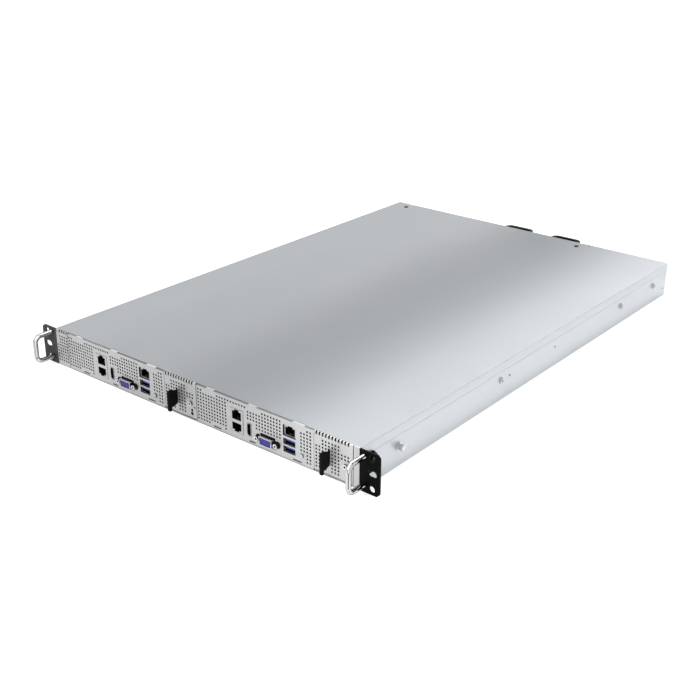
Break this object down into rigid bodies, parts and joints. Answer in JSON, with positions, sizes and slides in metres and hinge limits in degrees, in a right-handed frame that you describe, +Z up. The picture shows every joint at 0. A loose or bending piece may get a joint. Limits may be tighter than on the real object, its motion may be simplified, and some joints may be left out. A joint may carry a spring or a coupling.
{
  "type": "1u rack server",
  "caption": "Flat rack server with two side-by-side pull-out compute sleds, rack ears with bar handles and two power supplies at the back.",
  "frame": {"origin": "centre of the rack hole pattern, on the back face of the ears", "axes": "+X to the right seen from the front, +Y to the back, +Z up"},
  "size_m": [0.4826, 0.7059, 0.0445],
  "materials": {
    "case_steel": "galvanized sheet, satin",
    "lid_steel": "galvanized sheet, satin",
    "face_steel": "light grey, satin",
    "tray_steel": "galvanized sheet",
    "black_paint": "black powder coat",
    "handle_chrome": "polished",
    "screw_steel": "plain",
    "black_screw": "black oxide",
    "circuit_board": "green solder mask",
    "processor_metal": "plated",
    "heatsink_metal": "bare",
    "socket_shell": "plated",
    "video_shell": "plated shell, blue insert",
    "black_plastic": "matt",
    "lever_black": "black, satin",
    "button_plastic": "light, satin",
    "supply_steel": "galvanized sheet",
    "supply_grip": "black",
    "supply_tab": "grey"
  },
  "bodies": {
    "chassis": {"chassis_base": "case_steel", "rear_panel": "case_steel", "front_filler": "face_steel", "side_screws": "screw_steel", "rail_studs": "screw_steel", "ear_left": "black_paint", "ear_right": "black_paint", "ear_screws": "black_screw", "ear_handle_left": "handle_chrome", "ear_handle_right": "handle_chrome", "power_board": "circuit_board"},
    "cover": {"top_cover": "lid_steel", "cover_screws": "black_screw"},
    "sled_1": {"node_1_tray": "tray_steel", "node_1_faceplate": "face_steel", "node_1_handle_bracket": "face_steel", "node_1_lock_screw": "screw_steel", "node_1_mainboard": "circuit_board", "node_1_processor": "processor_metal", "node_1_heatsink": "heatsink_metal", "node_1_memory_modules": "circuit_board", "node_1_ssd": "circuit_board", "node_1_lan_stack": "socket_shell", "node_1_video_port": "socket_shell", "node_1_vga_port": "video_shell", "node_1_lan_usb_port": "socket_shell", "node_1_fan_housings": "black_plastic"},
    "lever_1": {"node_1_latch_lever": "lever_black"},
    "button_1": {"node_1_power_button": "button_plastic"},
    "fan_1_a": {"node_1_fan_rotor_1": "black_plastic"},
    "fan_1_b": {"node_1_fan_rotor_2": "black_plastic"},
    "sled_2": {"node_2_tray": "tray_steel", "node_2_faceplate": "face_steel", "node_2_handle_bracket": "face_steel", "node_2_lock_screw": "screw_steel", "node_2_mainboard": "circuit_board", "node_2_processor": "processor_metal", "node_2_heatsink": "heatsink_metal", "node_2_memory_modules": "circuit_board", "node_2_ssd": "circuit_board", "node_2_lan_stack": "socket_shell", "node_2_video_port": "socket_shell", "node_2_vga_port": "video_shell", "node_2_lan_usb_port": "socket_shell", "node_2_fan_housings": "black_plastic"},
    "lever_2": {"node_2_latch_lever": "lever_black"},
    "button_2": {"node_2_power_button": "button_plastic"},
    "fan_2_a": {"node_2_fan_rotor_1": "black_plastic"},
    "fan_2_b": {"node_2_fan_rotor_2": "black_plastic"},
    "supply_1": {"psu_1_case": "supply_steel", "psu_1_inlet": "black_plastic", "psu_1_handle": "supply_grip"},
    "catch_1": {"psu_1_latch": "supply_tab"},
    "supply_fan_1": {"psu_1_fan_rotor": "black_plastic"},
    "supply_2": {"psu_2_case": "supply_steel", "psu_2_inlet": "black_plastic", "psu_2_handle": "supply_grip"},
    "catch_2": {"psu_2_latch": "supply_tab"},
    "supply_fan_2": {"psu_2_fan_rotor": "black_plastic"}
  },
  "joints": [
    {"name": "cover_lift", "type": "slide", "parent": "chassis", "child": "cover", "axis": [0, 0, 1], "range_m": [0, 0.1]},
    {"name": "sled_1_slide", "type": "slide", "parent": "chassis", "child": "sled_1", "axis": [0, -1, 0], "range_m": [0, 0.3]},
    {"name": "lever_1_swing", "type": "hinge", "parent": "sled_1", "child": "lever_1", "pos_m": [-0.0223, 0.0034, 0.00315], "axis": [-1, 0, 0], "range_deg": [0, 25]},
    {"name": "button_1_press", "type": "slide", "parent": "sled_1", "child": "button_1", "axis": [0, 1, 0], "range_m": [0, 0.001], "stiffness_N_per_m": 800, "springref_m": -0.0005},
    {"name": "fan_1_a_spin", "type": "hinge", "parent": "sled_1", "child": "fan_1_a", "pos_m": [-0.1525, 0.425, -0.00035], "axis": [0, 1, 0], "continuous": true},
    {"name": "fan_1_b_spin", "type": "hinge", "parent": "sled_1", "child": "fan_1_b", "pos_m": [-0.0375, 0.425, -0.00035], "axis": [0, 1, 0], "continuous": true},
    {"name": "sled_2_slide", "type": "slide", "parent": "chassis", "child": "sled_2", "axis": [0, -1, 0], "range_m": [0, 0.3]},
    {"name": "lever_2_swing", "type": "hinge", "parent": "sled_2", "child": "lever_2", "pos_m": [0.1817, 0.0034, 0.00315], "axis": [-1, 0, 0], "range_deg": [0, 25]},
    {"name": "button_2_press", "type": "slide", "parent": "sled_2", "child": "button_2", "axis": [0, 1, 0], "range_m": [0, 0.001], "stiffness_N_per_m": 800, "springref_m": -0.0005},
    {"name": "fan_2_a_spin", "type": "hinge", "parent": "sled_2", "child": "fan_2_a", "pos_m": [0.0515, 0.425, -0.00035], "axis": [0, 1, 0], "continuous": true},
    {"name": "fan_2_b_spin", "type": "hinge", "parent": "sled_2", "child": "fan_2_b", "pos_m": [0.1665, 0.425, -0.00035], "axis": [0, 1, 0], "continuous": true},
    {"name": "supply_1_slide", "type": "slide", "parent": "chassis", "child": "supply_1", "axis": [0, 1, 0], "range_m": [0, 0.19]},
    {"name": "catch_1_press", "type": "slide", "parent": "supply_1", "child": "catch_1", "axis": [1, 0, 0], "range_m": [0, 0.002], "stiffness_N_per_m": 800, "springref_m": -0.0005},
    {"name": "supply_fan_1_spin", "type": "hinge", "parent": "supply_1", "child": "supply_fan_1", "pos_m": [-0.0352, 0.64, -0.0006], "axis": [0, 1, 0], "continuous": true},
    {"name": "supply_2_slide", "type": "slide", "parent": "chassis", "child": "supply_2", "axis": [0, 1, 0], "range_m": [0, 0.19]},
    {"name": "catch_2_press", "type": "slide", "parent": "supply_2", "child": "catch_2", "axis": [1, 0, 0], "range_m": [0, 0.002], "stiffness_N_per_m": 800, "springref_m": -0.0005},
    {"name": "supply_fan_2_spin", "type": "hinge", "parent": "supply_2", "child": "supply_fan_2", "pos_m": [0.0408, 0.64, -0.0006], "axis": [0, 1, 0], "continuous": true}
  ]
}
